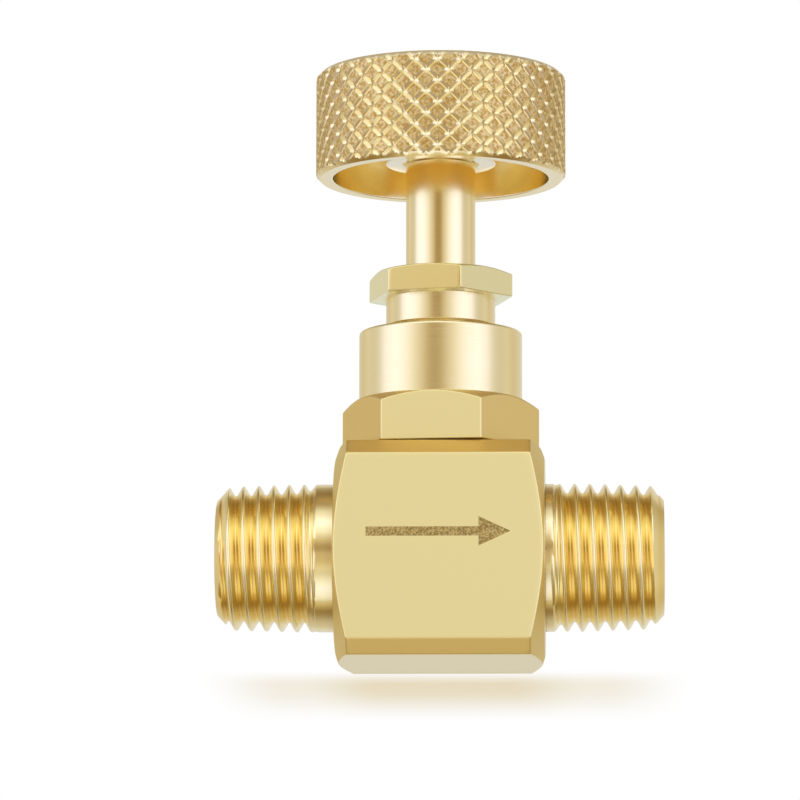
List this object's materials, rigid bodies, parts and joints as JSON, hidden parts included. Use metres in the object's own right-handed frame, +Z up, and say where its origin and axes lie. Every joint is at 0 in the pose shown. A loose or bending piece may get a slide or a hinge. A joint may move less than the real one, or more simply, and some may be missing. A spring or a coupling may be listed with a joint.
{
  "type": "needle valve",
  "caption": "Brass needle valve: chamfered square body with two male pipe ends, hexagon bonnet, gland nut and a rising stem with a knurled cup knob.",
  "frame": {"origin": "centre of the valve's box at its underside: the flat bottom of the square body, on the stem's axis", "axes": "+Z up along the stem, +X along the flow towards the outlet end, the flat front of the body faces -Y"},
  "size_m": [0.0414, 0.0234, 0.0556],
  "materials": {
    "body_brass": "satin machined brass with fine lapping grain",
    "bonnet_brass": "satin machined brass, turned collar",
    "gland_brass": "satin machined brass, turned neck",
    "stem_brass": "bright turned brass",
    "knob_brass": "diamond knurled brass with sandy flats and bright grooves",
    "inner_brass": "turned brass",
    "ptfe": "white PTFE",
    "rubber": "black nitrile",
    "screw_steel": "bright slotted screw"
  },
  "bodies": {
    "housing": {"valve_body": "body_brass", "bonnet": "bonnet_brass", "bonnet_gasket": "ptfe", "gland_nut": "gland_brass", "gland_follower": "inner_brass", "packing_washer": "inner_brass", "packing_ring_lower": "ptfe", "packing_ring_middle": "ptfe", "packing_ring_upper": "ptfe"},
    "stem_seal": {"stem_o_ring": "rubber"},
    "spindle": {"stem": "stem_brass", "knob": "knob_brass", "knob_washer": "inner_brass", "knob_screw": "screw_steel"}
  },
  "joints": [
    {"name": "stem_lift", "type": "slide", "parent": "housing", "child": "stem_seal", "axis": [0, 0, 1], "range_m": [0, 0.003]},
    {"name": "knob_turn", "type": "hinge", "parent": "stem_seal", "child": "spindle", "pos_m": [0, 0, 0.0507], "axis": [0, 0, 1], "range_deg": [0, 1080]}
  ],
  "couplings": [
    {"joint": "knob_turn", "follows": "stem_lift", "rad_per_m": 6283.2}
  ]
}
